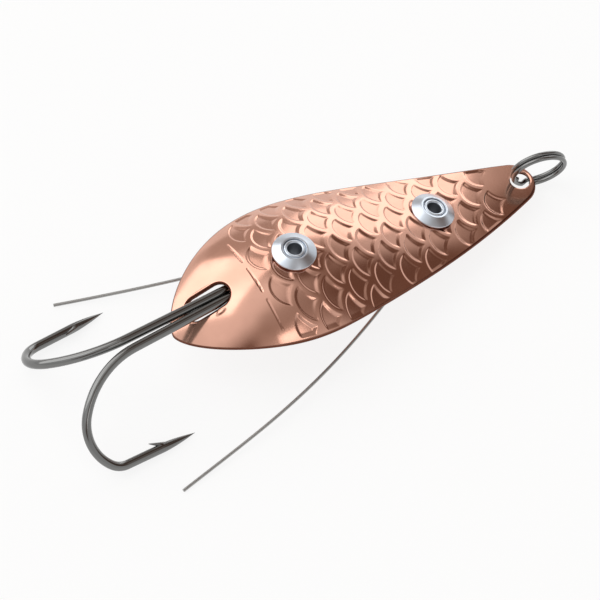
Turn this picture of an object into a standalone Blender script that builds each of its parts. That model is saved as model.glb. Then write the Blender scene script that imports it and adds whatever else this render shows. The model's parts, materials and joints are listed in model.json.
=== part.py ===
"""Weedless spoon lure: a stamped copper blade, a riveted double hook, two riveted weed guards
and a split ring.

The lure is modelled with its head toward +X and its scaled face up, first about the point where
the rear rivet's axis meets the blade's upper face. It is then moved so that it stands on z = 0.
"""
import math

import bmesh
import bpy
import numpy as np
from mathutils import Matrix, Vector
from mathutils.geometry import interpolate_bezier

MM = 0.001
NAME = "spoon_lure"

# Clearances
SEAT_GAP = 0.2 * MM
HOLE_PLAY = 0.3 * MM
SHANK_GAP = 0.04 * MM
SLOT_PLAY = 0.15 * MM
COIL_GAP = 0.04 * MM

# Blade: an S-curved, cupped leaf. Slopes and cup radii are set at even stations, tail to head.
BLADE_LENGTH = 75.0 * MM
BLADE_WIDTH = 27.9 * MM
BLADE_THICKNESS = 0.9 * MM
BLADE_SLOPES = (43.4, 14.9, -11.0, -20.9, -13.4, -4.8)
BLADE_CUP_RADII = (16.7 * MM, 16.7 * MM, 21.3 * MM, 125.0 * MM)
RIM_ROUNDING = 0.25 * MM
WIDEST_AT = 26.4 * MM
TAIL_ROUNDNESS = 2.3 * MM
TAIL_FULLNESS = 19.0 * MM
WAIST_FULLNESS = 13.7 * MM
SHOULDER_FULLNESS = 9.0 * MM
SHOULDER_TAPER = 19.7
HEAD_RADIUS = 4.2 * MM

# Places along the blade, from its tail
REAR_RIVET_AT = 25.55 * MM
FRONT_RIVET_AT = 54.55 * MM
RING_HOLE_FROM_HEAD = 2.4 * MM
RING_HOLE_RADIUS = 1.85 * MM
RING_HOLE_CHAMFER = 0.2 * MM
SLOT_FRONT_AT = 13.2 * MM
SLOT_LENGTH = 9.2 * MM
SLOT_WIDTH = 5.3 * MM
SLOT_OFFSET = 0.25 * MM

# Rivets and washers
RIVET_BORE = 2.3 * MM
RIVET_BARREL = 3.0 * MM
RIVET_RIM = 4.2 * MM
RIVET_RIM_HEIGHT = 0.45 * MM
RIVET_FLARE = 4.4 * MM
RIVET_FLARE_HEIGHT = 0.5 * MM
RIVET_EDGE_BREAK = 0.2 * MM
RIVET_BORE_LIP = 0.3 * MM
CONE_WASHER_DIAMETER = 7.6 * MM
CONE_WASHER_HEIGHT = 1.0 * MM
CONE_WASHER_EDGE = 0.25 * MM
CONE_WASHER_LIP = 0.35 * MM
BACK_WASHER_DIAMETER = 6.0 * MM
BACK_WASHER_THICKNESS = 0.5 * MM
WASHER_EDGE_BREAK = 0.1 * MM

# Double hook
HOOK_WIRE = 1.62 * MM
HOOK_NECK_RADIUS = 1.5 * MM
SHANK_YAW = 2.65
SHANK_RISE = 2.2
SHANK_SIDE_SET = 0.25 * MM
SHANK_LEAD_IN = 2.8 * MM
SHANK_LENGTH = 20.0 * MM
HOOK_SPLAY = 47.1
HOOK_BENDS = ((15.0 * MM, 55.5), (7.6 * MM, 77.2), (3.75 * MM, 44.4))
HOOK_LEG = 13.25 * MM
HOOK_POINT_LENGTH = 6.5 * MM
# The point's taper: shares of its length and of the wire's thickness
HOOK_POINT_TAPER = ((0, 1), (0.3, 0.85), (0.65, 0.5), (0.9, 0.2), (1, 0.06))
BARB_BACK = 7.6 * MM
BARB_LENGTH = 2.6 * MM
BARB_HEIGHT = 0.7 * MM
BARB_RADIUS = 0.42 * MM

# Weed guards: the two Bezier handles and the tip of each wire, from the front rivet
GUARD_WIRE = 0.55 * MM
GUARD_EYE_SWEEP = 285.0
GUARD_BEND_RADIUS = 2.0 * MM
LEFT_GUARD = ((-22.0, 5.9, -4.1), (-42.6, 12.1, -5.5), (-62.8, 19.0, -6.6))
RIGHT_GUARD = ((-29.6, -18.1, -4.1), (-41.1, -19.1, -5.5), (-62.4, -23.3, -6.6))

# Split ring
RING_RADIUS = 4.55 * MM
RING_WIRE = 0.8 * MM
RING_FORWARD = 2.7 * MM
RING_SIDE_SET = 0.2 * MM
RING_RISE = 3.2 * MM
RING_YAW = -12.1
RING_LEAN = 9.7
RING_START_AT = 281.0
RING_STEP_SWEEP = 26.0
RING_END_GAP = 6.0

ROUND_STEPS = 32
WIRE_STEP = math.radians(11.0)
CUT_DEPTH = 6 * BLADE_THICKNESS


def through_all(values):
    """The polynomial that passes through values set at even stations."""
    return np.polyfit(np.linspace(0, 1, len(values)), values, len(values) - 1)


SLOPE_FIT = through_all(np.radians(BLADE_SLOPES))
CUPPING_FIT = through_all([1 / radius for radius in BLADE_CUP_RADII])


def slope_at(station):
    return float(np.polyval(SLOPE_FIT, station / BLADE_LENGTH))


def cupping_at(station):
    return float(np.polyval(CUPPING_FIT, station / BLADE_LENGTH))


def midline_table(count=600):
    """The midline's stations and their x and z, from the slope, with the rear rivet at 0."""
    stations = np.linspace(0, BLADE_LENGTH, count)
    slopes = np.polyval(SLOPE_FIT, stations / BLADE_LENGTH)
    step = stations[1]
    columns = []
    for rate in (np.cos(slopes), np.sin(slopes)):
        grown = np.concatenate([[0], np.cumsum((rate[1:] + rate[:-1]) / 2) * step])
        columns.append(grown - np.interp(REAR_RIVET_AT, stations, grown))
    return stations, columns[0], columns[1]


MIDLINE = midline_table()


def blade_frame(station, depth=0.0):
    """A frame on the midline: X toward the head, Y across, Z out of the upper face."""
    stations, xs, zs = MIDLINE
    slope = slope_at(station)
    place = Vector((np.interp(station, stations, xs), 0, np.interp(station, stations, zs)))
    turn = Matrix.Rotation(-slope, 4, "Y")
    return Matrix.Translation(place) @ turn @ Matrix.Translation((0, 0, -depth))


def blade_point(station, across):
    """A point of the upper face: the cupping drops it away from the midline."""
    drop = cupping_at(station) * across * across / 2
    return blade_frame(station, drop) @ Vector((0, across, 0))


def outline_table():
    """Half widths of the leaf along its length: two Bezier flanks and a round head."""
    half = BLADE_WIDTH / 2
    taper = math.radians(SHOULDER_TAPER)
    head = BLADE_LENGTH - HEAD_RADIUS
    shoulder = Vector((head + HEAD_RADIUS * math.sin(taper), HEAD_RADIUS * math.cos(taper)))
    flank = Vector((-math.cos(taper), math.sin(taper)))
    widest = Vector((WIDEST_AT, half))
    points = interpolate_bezier(
        Vector((0, 0)), Vector((0, TAIL_ROUNDNESS)), widest - Vector((TAIL_FULLNESS, 0)), widest, 60
    )
    points += interpolate_bezier(
        widest,
        widest + Vector((WAIST_FULLNESS, 0)),
        shoulder + SHOULDER_FULLNESS * flank,
        shoulder,
        60,
    )
    for angle in np.linspace(math.pi / 2 - taper, 0, 30):
        points.append(Vector((head + HEAD_RADIUS * math.cos(angle), HEAD_RADIUS * math.sin(angle))))
    return [point[0] for point in points], [point[1] for point in points]


def new_collection(name):
    collection = bpy.data.collections.new(name)
    bpy.context.scene.collection.children.link(collection)
    return collection


def new_material(name, colour, roughness):
    material = bpy.data.materials.new(name)
    material.use_nodes = True
    shader = material.node_tree.nodes["Principled BSDF"]
    shader.inputs["Base Color"].default_value = (*colour, 1)
    shader.inputs["Metallic"].default_value = 1
    shader.inputs["Roughness"].default_value = roughness
    material.diffuse_color = (*colour, 1)
    return material


def add_object(name, data, collection, material=None):
    obj = bpy.data.objects.new(name, data)
    collection.objects.link(obj)
    if material:
        data.materials.append(material)
    return obj


def add_mesh(name, shape, collection, material=None):
    """An object from a bmesh, which is used up."""
    mesh = bpy.data.meshes.new(name)
    bmesh.ops.recalc_face_normals(shape, faces=shape.faces)
    shape.to_mesh(mesh)
    shape.free()
    return add_object(name, mesh, collection, material)


def shade_round(obj, angle=35):
    obj.data.shade_smooth()
    obj.data.set_sharp_from_angle(angle=math.radians(angle))


def to_mesh_object(obj):
    """Replaces a curve object by a mesh of the same shape, with its caps welded on."""
    graph = bpy.context.evaluated_depsgraph_get()
    graph.update()
    mesh = bpy.data.meshes.new_from_object(obj.evaluated_get(graph), depsgraph=graph)
    shape = bmesh.new()
    shape.from_mesh(mesh)
    bmesh.ops.remove_doubles(shape, verts=shape.verts, dist=1e-7)
    bmesh.ops.recalc_face_normals(shape, faces=shape.faces)
    shape.to_mesh(mesh)
    shape.free()
    name = obj.name
    collection = obj.users_collection[0]
    matrix = obj.matrix_world.copy()
    bpy.data.objects.remove(obj)
    made = add_object(name, mesh, collection)
    made.matrix_world = matrix
    return made


def turned(name, profile, collection, material, frame):
    """A turned piece: a closed profile of (radius, height) screwed about its own Z."""
    shape = bmesh.new()
    verts = [shape.verts.new((radius, 0, height)) for radius, height in profile]
    for first, second in zip(verts, verts[1:] + verts[:1]):
        shape.edges.new((first, second))
    mesh = bpy.data.meshes.new(name)
    shape.to_mesh(mesh)
    shape.free()
    obj = add_object(name, mesh, collection, material)
    screw = obj.modifiers.new("Turn", "SCREW")
    screw.steps = screw.render_steps = ROUND_STEPS
    screw.use_merge_vertices = True
    screw.merge_threshold = 1e-5
    obj.matrix_world = frame
    return obj


def wire(name, points, diameter, collection, material, radii=None, resolution=2):
    """A wire along points, with filled ends. radii scales its thickness point by point."""
    curve = bpy.data.curves.new(name, "CURVE")
    curve.dimensions = "3D"
    curve.bevel_depth = diameter / 2
    curve.bevel_resolution = resolution
    curve.use_fill_caps = True
    spline = curve.splines.new("POLY")
    spline.points.add(len(points) - 1)
    for index, point in enumerate(points):
        spline.points[index].co = (*point, 1)
        spline.points[index].radius = radii[index] if radii else 1
    return add_object(name, curve, collection, material)


def cylinder(name, radius, depth, collection, frame, top_radius=None):
    shape = bmesh.new()
    bmesh.ops.create_cone(
        shape,
        cap_ends=True,
        segments=ROUND_STEPS,
        radius1=radius,
        radius2=radius if top_radius is None else top_radius,
        depth=depth,
    )
    obj = add_mesh(name, shape, collection)
    obj.matrix_world = frame
    return obj


def make_cutter(obj):
    obj.display_type = "WIRE"
    obj.hide_render = True
    return obj


def boolean(obj, other, operation="DIFFERENCE"):
    modifier = obj.modifiers.new(other.name, "BOOLEAN")
    modifier.operation = operation
    modifier.object = other


class WirePath:
    """The centre line of a bent wire, grown from its start by runs, bends and curves."""

    def __init__(self, start, heading):
        self.points = [start.copy()]
        self.heading = heading.normalized()

    def run(self, length):
        self.points.append(self.points[-1] + self.heading * length)

    def bend(self, radius, angle, toward):
        """A bend by angle, whose centre lies toward that side."""
        side = (toward - toward.dot(self.heading) * self.heading).normalized()
        centre = self.points[-1] + side * radius
        steps = max(2, math.ceil(angle / WIRE_STEP))
        ahead = self.heading
        for step in range(1, steps + 1):
            turned_by = angle * step / steps
            across = ahead * math.sin(turned_by) - side * math.cos(turned_by)
            self.points.append(centre + radius * across)
        self.heading = ahead * math.cos(angle) + side * math.sin(angle)

    def turn_to(self, direction, radius):
        self.bend(radius, self.heading.angle(direction), direction)

    def curve(self, handle, second_handle, end, count):
        """A Bezier curve through two handles."""
        curve = interpolate_bezier(self.points[-1], handle, second_handle, end, count + 1)
        self.points += curve[1:]
        self.heading = (end - second_handle).normalized()


def make_blade(parts, cutters, material):
    """A grid bent to the leaf's outline, S-curve and cup, thickened, rounded and pierced."""
    stations, widths = outline_table()
    shape = bmesh.new()
    bmesh.ops.create_grid(shape, x_segments=44, y_segments=20, size=1)
    for vert in shape.verts:
        u, v, _ = vert.co
        along = u * math.sqrt(1 - v * v / 2)
        across = v * math.sqrt(1 - u * u / 2)
        station = BLADE_LENGTH * (1 + along) / 2
        chord = math.sqrt(max(1 - along * along, 1e-9))
        share = max(-1, min(1, across / chord))
        vert.co = blade_point(station, share * float(np.interp(station, stations, widths)))
    blade = add_mesh("spoon_blade", shape, parts, material)
    if blade.data.polygons[0].normal.z < 0:
        blade.data.flip_normals()
    solid = blade.modifiers.new("Thickness", "SOLIDIFY")
    solid.thickness = BLADE_THICKNESS
    solid.offset = -1
    solid.use_even_offset = True
    rim = blade.modifiers.new("Rounded rim", "BEVEL")
    rim.width = RIM_ROUNDING
    rim.segments = 2
    rim.limit_method = "ANGLE"
    rim.angle_limit = math.radians(50)
    for name, station in (("rear_rivet_hole", REAR_RIVET_AT), ("front_rivet_hole", FRONT_RIVET_AT)):
        frame = blade_frame(station, BLADE_THICKNESS / 2)
        hole = cylinder(name, RIVET_BARREL / 2 + HOLE_PLAY, CUT_DEPTH, cutters, frame)
        boolean(blade, make_cutter(hole))
    hole_at = BLADE_LENGTH - RING_HOLE_FROM_HEAD
    middle = blade_frame(hole_at, BLADE_THICKNESS / 2)
    hole = cylinder("ring_hole", RING_HOLE_RADIUS, CUT_DEPTH, cutters, middle)
    boolean(blade, make_cutter(hole))
    narrow = RING_HOLE_RADIUS - RING_HOLE_CHAMFER
    wide = RING_HOLE_RADIUS + RING_HOLE_CHAMFER
    for name, depth, bottom, top in (
        ("ring_hole_upper_chamfer", 0, narrow, wide),
        ("ring_hole_lower_chamfer", BLADE_THICKNESS, wide, narrow),
    ):
        face = blade_frame(hole_at, depth)
        cone = cylinder(name, bottom, 2 * RING_HOLE_CHAMFER, cutters, face, top)
        boolean(blade, make_cutter(cone))
    boolean(blade, make_cutter(make_slot_cutter(cutters)))
    shade_round(blade)
    return blade


def make_slot_cutter(cutters):
    """A flat outline with round ends, as thick as the cut is deep."""
    half = SLOT_LENGTH / 2 - SLOT_WIDTH / 2
    curve = bpy.data.curves.new("hook_slot", "CURVE")
    curve.dimensions = "2D"
    curve.fill_mode = "BOTH"
    curve.extrude = CUT_DEPTH / 2
    spline = curve.splines.new("POLY")
    outline = []
    for end in (1, -1):
        for angle in np.linspace(-math.pi / 2, math.pi / 2, ROUND_STEPS // 2 + 1):
            x = end * (half + SLOT_WIDTH / 2 * math.cos(angle))
            outline.append((x, end * SLOT_WIDTH / 2 * math.sin(angle), 0, 1))
    spline.points.add(len(outline) - 1)
    for point, co in zip(spline.points, outline):
        point.co = co
    spline.use_cyclic_u = True
    slot = add_object("hook_slot", curve, cutters)
    middle = blade_frame(SLOT_FRONT_AT - SLOT_LENGTH / 2, BLADE_THICKNESS / 2)
    slot.matrix_world = middle @ Matrix.Translation((0, SLOT_OFFSET, 0))
    bpy.context.view_layer.update()
    return to_mesh_object(slot)


def eye_depth(station, wire_diameter, eye_radius):
    """How deep under the upper face an eye's centre line lies, to clear the cupped underside."""
    reach = eye_radius + wire_diameter / 2
    sag = cupping_at(station) * reach * reach / 2
    return BLADE_THICKNESS + sag + SEAT_GAP + wire_diameter / 2


HOOK_EYE_RADIUS = RIVET_BARREL / 2 + HOLE_PLAY + HOOK_WIRE / 2
HOOK_EYE_DEPTH = eye_depth(REAR_RIVET_AT, HOOK_WIRE, HOOK_EYE_RADIUS)
GUARD_EYE_RADIUS = RIVET_BARREL / 2 + HOLE_PLAY + GUARD_WIRE / 2
LEFT_EYE_DEPTH = eye_depth(FRONT_RIVET_AT, GUARD_WIRE, GUARD_EYE_RADIUS)
RIGHT_EYE_DEPTH = LEFT_EYE_DEPTH + GUARD_WIRE + SEAT_GAP


def make_fastening(prefix, station, stack_depth, parts, metal):
    """A tubular rivet with its cone washer above the blade and its back washer below the eyes."""
    frame = blade_frame(station)
    bore = RIVET_BORE / 2
    barrel = RIVET_BARREL / 2
    rim = RIVET_RIM / 2
    loose = barrel + HOLE_PLAY
    base = SEAT_GAP
    peak = base + CONE_WASHER_HEIGHT
    lip = base + CONE_WASHER_LIP
    well = rim + SEAT_GAP
    outer = CONE_WASHER_DIAMETER / 2
    cone = (
        (well + WASHER_EDGE_BREAK, peak),
        (outer, base + CONE_WASHER_EDGE),
        (outer - WASHER_EDGE_BREAK, base),
        (loose, base),
        (loose, lip),
        (well, lip),
        (well, peak),
    )
    turned(prefix + "_cone_washer", cone, parts, metal, frame)
    top = -(stack_depth + SEAT_GAP)
    bottom = top - BACK_WASHER_THICKNESS
    half = BACK_WASHER_DIAMETER / 2
    plate = (
        (half - WASHER_EDGE_BREAK, top),
        (half, top - WASHER_EDGE_BREAK),
        (half, bottom + WASHER_EDGE_BREAK),
        (half - WASHER_EDGE_BREAK, bottom),
        (loose, bottom),
        (loose, top),
    )
    turned(prefix + "_back_washer", plate, parts, metal, frame)
    rim_base = lip + SEAT_GAP
    rim_top = rim_base + RIVET_RIM_HEIGHT
    flare = RIVET_FLARE / 2
    flare_top = bottom - SEAT_GAP
    flare_bottom = flare_top - RIVET_FLARE_HEIGHT
    rivet = (
        (bore + RIVET_BORE_LIP, rim_top),
        (rim - RIVET_EDGE_BREAK, rim_top),
        (rim, rim_top - RIVET_EDGE_BREAK),
        (rim, rim_base),
        (barrel, rim_base),
        (barrel, flare_top),
        (flare, flare_top),
        (flare, flare_top - RIVET_EDGE_BREAK),
        (flare - RIVET_EDGE_BREAK, flare_bottom),
        (bore + RIVET_BORE_LIP, flare_bottom),
        (bore, flare_bottom + RIVET_BORE_LIP),
        (bore, rim_top - RIVET_BORE_LIP),
    )
    turned(prefix + "_rivet", rivet, parts, metal, frame)


def shank_line():
    """A point under the slot's front edge that the shanks pass, and the way they then go."""
    edge = blade_frame(SLOT_FRONT_AT, BLADE_THICKNESS).translation
    reach = SHANK_SIDE_SET + HOOK_WIRE
    sag = cupping_at(SLOT_FRONT_AT) * reach * reach / 2
    below = edge.z - sag - SLOT_PLAY - HOOK_WIRE / 2
    yaw = math.radians(SHANK_YAW)
    rise = math.radians(SHANK_RISE)
    level = Vector((-math.cos(yaw), -math.sin(yaw), 0))
    heading = level * math.cos(rise) + Vector((0, 0, math.sin(rise)))
    return Vector((edge.x, SHANK_SIDE_SET, below)), heading


def hook_half(side):
    """One half of the double hook's wire, from the front of its eye to its point."""
    frame = blade_frame(REAR_RIVET_AT, HOOK_EYE_DEPTH)
    along = frame.col[0].xyz
    across = side * frame.col[1].xyz
    half_pitch = (HOOK_WIRE + SHANK_GAP) / 2
    path = WirePath(frame.translation + along * HOOK_EYE_RADIUS, across)
    neck = math.asin((half_pitch + HOOK_NECK_RADIUS) / (HOOK_EYE_RADIUS + HOOK_NECK_RADIUS))
    path.bend(HOOK_EYE_RADIUS, math.pi - neck, -along)
    path.bend(HOOK_NECK_RADIUS, math.pi / 2 - neck, across)
    under_slot, heading = shank_line()
    sideways = Vector((0, 0, 1)).cross(heading).normalized() * -side
    line_start = under_slot - heading * SHANK_LEAD_IN + sideways * half_pitch
    ease = (line_start - path.points[-1]).length / 3
    path.curve(path.points[-1] + path.heading * ease, line_start - heading * ease, line_start, 8)
    path.heading = heading
    path.run(SHANK_LEAD_IN + SHANK_LENGTH)
    splay = math.radians(HOOK_SPLAY)
    down = heading.cross(sideways) * side
    opening = down * math.cos(splay) + sideways * math.sin(splay)
    for radius, angle in HOOK_BENDS:
        path.bend(radius, math.radians(angle), opening)
        opening = inward_of(path.heading, opening)
    return path, opening


def inward_of(heading, opening):
    """The side of the wire that faces the middle of the bend, square to its heading."""
    return (opening - opening.dot(heading) * heading).normalized()


def make_double_hook(parts, cutters, material):
    """One wire, point to point, through its eye, with a barb joined to each leg."""
    halves = []
    barbs = []
    for side in (1, -1):
        path, inward = hook_half(side)
        radii = [1.0] * len(path.points)
        leg_start = path.points[-1].copy()
        shaft = HOOK_LEG - HOOK_POINT_LENGTH
        for share, radius in HOOK_POINT_TAPER:
            path.points.append(leg_start + path.heading * (shaft + share * HOOK_POINT_LENGTH))
            radii.append(radius)
        halves.append((path.points, radii))
        tip = path.points[-1]
        crest = tip - path.heading * BARB_BACK + inward * (HOOK_WIRE / 2 + BARB_HEIGHT)
        root = tip - path.heading * (BARB_BACK - BARB_LENGTH) + inward * (HOOK_WIRE / 4)
        barbs.append(make_barb(side, root, crest, cutters))
    left, right = halves
    points = left[0][:0:-1] + right[0]
    radii = left[1][:0:-1] + right[1]
    hook = wire("double_hook", points, HOOK_WIRE, parts, None, radii, resolution=3)
    hook = to_mesh_object(hook)
    hook.data.materials.append(material)
    for barb in barbs:
        boolean(hook, make_cutter(barb), "UNION")
    shade_round(hook, 50)
    return hook


def make_barb(side, root, crest, cutters):
    """A slim cone whose base is inside the wire and whose tip stands off it."""
    axis = crest - root
    shape = bmesh.new()
    bmesh.ops.create_cone(
        shape,
        cap_ends=True,
        segments=8,
        radius1=BARB_RADIUS,
        radius2=BARB_RADIUS / 8,
        depth=axis.length,
    )
    barb = add_mesh("left_barb" if side > 0 else "right_barb", shape, cutters)
    turn = axis.to_track_quat("Z", "Y").to_matrix().to_4x4()
    barb.matrix_world = Matrix.Translation((root + crest) / 2) @ turn
    return barb


def guard_points(side, depth, course):
    """A guard's wire: an open eye about the front rivet, then a long sweep to its tip."""
    frame = blade_frame(FRONT_RIVET_AT)
    along = frame.col[0].xyz
    across = side * frame.col[1].xyz
    up = frame.col[2].xyz
    handle, second_handle, tip = (Vector(point) * MM for point in course)
    exit_heading = math.atan2(handle.dot(across), handle.dot(along))
    start = exit_heading - math.pi / 2 - math.radians(GUARD_EYE_SWEEP)
    spoke = along * math.cos(start) + across * math.sin(start)
    ahead = across * math.cos(start) - along * math.sin(start)
    path = WirePath(spoke * GUARD_EYE_RADIUS - up * depth, ahead)
    path.bend(GUARD_EYE_RADIUS, math.radians(GUARD_EYE_SWEEP), -spoke)
    past_washer = BACK_WASHER_DIAMETER / 2 + SEAT_GAP + GUARD_WIRE / 2
    path.run(math.sqrt(max(0, past_washer**2 - GUARD_EYE_RADIUS**2)))
    path.turn_to((handle - path.points[-1]).normalized(), GUARD_BEND_RADIUS)
    path.curve(handle, second_handle, tip, 26)
    return path.points


def make_guards(parts, material):
    pivot = blade_frame(FRONT_RIVET_AT).translation
    for name, side, depth, course in (
        ("weed_guard_left", 1, LEFT_EYE_DEPTH, LEFT_GUARD),
        ("weed_guard_right", -1, RIGHT_EYE_DEPTH, RIGHT_GUARD),
    ):
        guard = wire(name, guard_points(side, depth, course), GUARD_WIRE, parts, material)
        guard.location = pivot


def make_split_ring(parts, material):
    """Two flat coils side by side, joined by a short step under the head, raised in the hole."""
    rise = (RING_WIRE + COIL_GAP) / 2
    step = math.radians(RING_STEP_SWEEP)
    end = 4 * math.pi - step - math.radians(RING_END_GAP)
    count = 2 * 36
    points = []
    for angle in np.linspace(0, end, count):
        share = min(1, max(0, (angle - 2 * math.pi + step) / step))
        height = rise * (2 * share * share * (3 - 2 * share) - 1)
        turn = angle + math.radians(RING_START_AT)
        points.append(Vector((RING_RADIUS * math.cos(turn), height, RING_RADIUS * math.sin(turn))))
    swing = Matrix.Rotation(math.radians(RING_YAW), 4, "Z")
    lean = Matrix.Rotation(math.radians(RING_LEAN), 4, "X")
    hinge = blade_frame(BLADE_LENGTH - RING_HOLE_FROM_HEAD, BLADE_THICKNESS / 2)
    offset = Matrix.Translation((RING_FORWARD, RING_SIDE_SET, RING_RISE))
    place = hinge.to_3x3().to_4x4() @ lean @ swing @ offset
    ring = wire("split_ring", [place @ point for point in points], RING_WIRE, parts, material)
    ring.location = hinge.translation


def stand_on_ground(parts, cutters):
    """Puts pieces and cutters under one empty, which moves them onto z = 0 about the middle."""
    root = bpy.data.objects.new(NAME, None)
    bpy.context.scene.collection.objects.link(root)
    bpy.context.view_layer.update()
    graph = bpy.context.evaluated_depsgraph_get()
    corners = []
    for obj in parts.objects:
        evaluated = obj.evaluated_get(graph)
        mesh = evaluated.to_mesh()
        points = np.empty(len(mesh.vertices) * 3, np.float32)
        mesh.vertices.foreach_get("co", points)
        evaluated.to_mesh_clear()
        matrix = np.array(obj.matrix_world)
        points = points.reshape(-1, 3) @ matrix[:3, :3].T + matrix[:3, 3]
        corners += [points.min(axis=0), points.max(axis=0)]
    for obj in [*parts.objects, *cutters.objects]:
        obj.parent = root
    low = np.min(corners, axis=0)
    high = np.max(corners, axis=0)
    root.location = (-(low[0] + high[0]) / 2, -(low[1] + high[1]) / 2, -low[2])
    return root


def main():
    for obj in list(bpy.data.objects):
        bpy.data.objects.remove(obj)
    parts = new_collection(NAME)
    cutters = new_collection("cutters")
    copper = new_material("polished_copper", (0.80, 0.42, 0.29), 0.22)
    aluminium = new_material("satin_aluminium", (0.80, 0.82, 0.84), 0.35)
    black_nickel = new_material("black_nickel", (0.13, 0.13, 0.13), 0.25)
    stainless = new_material("stainless_wire", (0.36, 0.36, 0.35), 0.35)
    make_blade(parts, cutters, copper)
    hook_stack = HOOK_EYE_DEPTH + HOOK_WIRE / 2
    guard_stack = RIGHT_EYE_DEPTH + GUARD_WIRE / 2
    make_fastening("rear", REAR_RIVET_AT, hook_stack, parts, aluminium)
    make_fastening("front", FRONT_RIVET_AT, guard_stack, parts, aluminium)
    make_double_hook(parts, cutters, black_nickel)
    make_guards(parts, stainless)
    make_split_ring(parts, black_nickel)
    stand_on_ground(parts, cutters)


if __name__ == "__main__":
    main()
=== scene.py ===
"""Weedless spoon lure: the look of a stamped copper spoon, built round its CAD frame.

The file is laid out as an add-on and run as a script. Each operator makes one group of pieces,
places them from the frame's own joints, and hands them to the bodies that carry them.
"""
import json
import math

import bmesh
import bpy
import numpy as np
from bpy.props import FloatProperty, FloatVectorProperty, PointerProperty
from mathutils import Matrix, Vector
from mathutils.geometry import interpolate_bezier


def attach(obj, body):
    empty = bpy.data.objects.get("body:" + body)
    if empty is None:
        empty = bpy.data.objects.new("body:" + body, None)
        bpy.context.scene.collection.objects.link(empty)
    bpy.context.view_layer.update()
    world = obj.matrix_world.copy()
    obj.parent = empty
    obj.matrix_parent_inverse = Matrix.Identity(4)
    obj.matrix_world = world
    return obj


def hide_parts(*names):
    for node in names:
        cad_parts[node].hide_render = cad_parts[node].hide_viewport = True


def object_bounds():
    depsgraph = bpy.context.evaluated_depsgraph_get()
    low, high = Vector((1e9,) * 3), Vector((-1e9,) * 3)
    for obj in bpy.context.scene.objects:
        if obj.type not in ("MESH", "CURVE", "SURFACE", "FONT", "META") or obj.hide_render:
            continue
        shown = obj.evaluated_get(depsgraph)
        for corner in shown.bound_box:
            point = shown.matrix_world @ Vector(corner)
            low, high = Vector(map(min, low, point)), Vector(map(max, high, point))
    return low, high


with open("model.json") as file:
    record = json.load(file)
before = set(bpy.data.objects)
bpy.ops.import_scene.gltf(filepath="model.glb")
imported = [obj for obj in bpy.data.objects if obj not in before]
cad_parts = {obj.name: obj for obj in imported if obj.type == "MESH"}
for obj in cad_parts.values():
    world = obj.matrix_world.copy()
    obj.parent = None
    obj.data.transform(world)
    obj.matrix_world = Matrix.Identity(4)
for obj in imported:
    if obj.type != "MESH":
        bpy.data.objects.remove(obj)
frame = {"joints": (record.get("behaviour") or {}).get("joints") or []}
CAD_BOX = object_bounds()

bl_info = {
    "name": "Weedless Spoon Lure",
    "version": (1, 0, 0),
    "blender": (4, 5, 0),
    "location": "View3D > Sidebar > Spoon Lure",
    "description": "Builds a stamped copper spoon lure with its hook, weed guards and split ring",
    "category": "Add Mesh",
}

MM = 0.001

# The blade's midline slopes in degrees and its cup radii, at even stations from tail to head
BLADE_SLOPES = (43.4, 14.9, -11.0, -20.9, -13.4, -4.8)
BLADE_CUP_RADII = (16.7 * MM, 16.7 * MM, 21.3 * MM, 125.0 * MM)

# The leaf's outline: its widest place, and how full its flanks are
WIDEST_AT = 26.4 * MM
TAIL_ROUNDNESS = 2.3 * MM
TAIL_FULLNESS = 19.0 * MM
WAIST_FULLNESS = 13.7 * MM
SHOULDER_FULLNESS = 9.0 * MM
SHOULDER_TAPER = math.radians(19.7)
HEAD_RADIUS = 4.2 * MM
# An inset from the rim moves a point by this power of how far out it lies
INSET_POWER = 8

# Places along the blade, from its tail. The shanks pass under it a little ahead of the slot
REAR_RIVET_AT = 25.55 * MM
FRONT_RIVET_AT = 54.55 * MM
RING_HOLE_AT = 72.6 * MM
SHANKS_PASS_AT = 13.2 * MM
SLOT_FRONT_AT = 12.75 * MM
SLOT_OFFSET = 0.35 * MM
SLOT_TURN = math.radians(8.0)

# The scales: where their middles start and end along the blade, and the place of one of them
SCALES_FROM = 18.6 * MM
SCALES_TO = 68.2 * MM
ONE_SCALE_AT = (42.7 * MM, 1.05 * MM)
# How strongly their columns bow across the blade, as a bend in 1/m
SCALE_BOW = 6.0
# How many times gentler a scale's wall is at its head end and along the rim
HEADWARD_SLOPE = 2.4
# The rows fan out a little toward the tail: from here, over this length, by a shift and a share
FAN_FROM = 38.0 * MM
FAN_LENGTH = 20.0 * MM
FAN_SHIFT = 1.19 * MM
FAN_SPREAD = 0.098
# The plain margin inside the rim, which widens toward the tail
PLAIN_RIM = 0.3 * MM
TAIL_RIM = 0.6 * MM
TAIL_RIM_FROM = 34.0 * MM
TAIL_RIM_LENGTH = 9.0 * MM
# A scale whose middle lies nearer the rim than this isn't stamped
LEAST_ROOM = 0.1 * MM

# The line of dashes between the scales and the plain tail: its place and bow, then its dashes
DASHES_AT = 17.3 * MM
DASHES_MIDDLE = 1.0 * MM
DASHES_BOW = 5.0
DASHES_GAP = 0.35 * MM
DASH_COUNT = 3
MIDDLE_DASH_AT = -1.1 * MM
DASH_HALF_LENGTH = 2.65 * MM
DASH_HALF_WIDTH = 0.17 * MM

# A burr that the punch raised beside the slot: its middle and its half length and width
BURR_AT = (9.5 * MM, -2.45 * MM)
BURR_SIZE = (1.1 * MM, 0.42 * MM)

# How much painted shade darkens the stamped recesses and the rim's edge, where 1 is the dark copper
# of a piercing's wall
RECESS_SHADE = 0.14
RIM_SHADE = 0.7

# Piercings: how wide the slot's torn lip opens and how deep it reaches, the degrees round a lip at
# which it is drawn, and how many of its steps keep the polished copper before the wall's painted
# shade begins
LIP_TURNS = (8, 26, 44, 62, 80)
SLOT_LIP = (0.55 * MM, 0.42 * MM)
SLOT_LIP_STEPS = 1
HOLE_LIP_STEPS = 4
RIVET_HOLE_RADIUS = 1.8 * MM
CUT_REACH = 1.2 * MM
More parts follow.
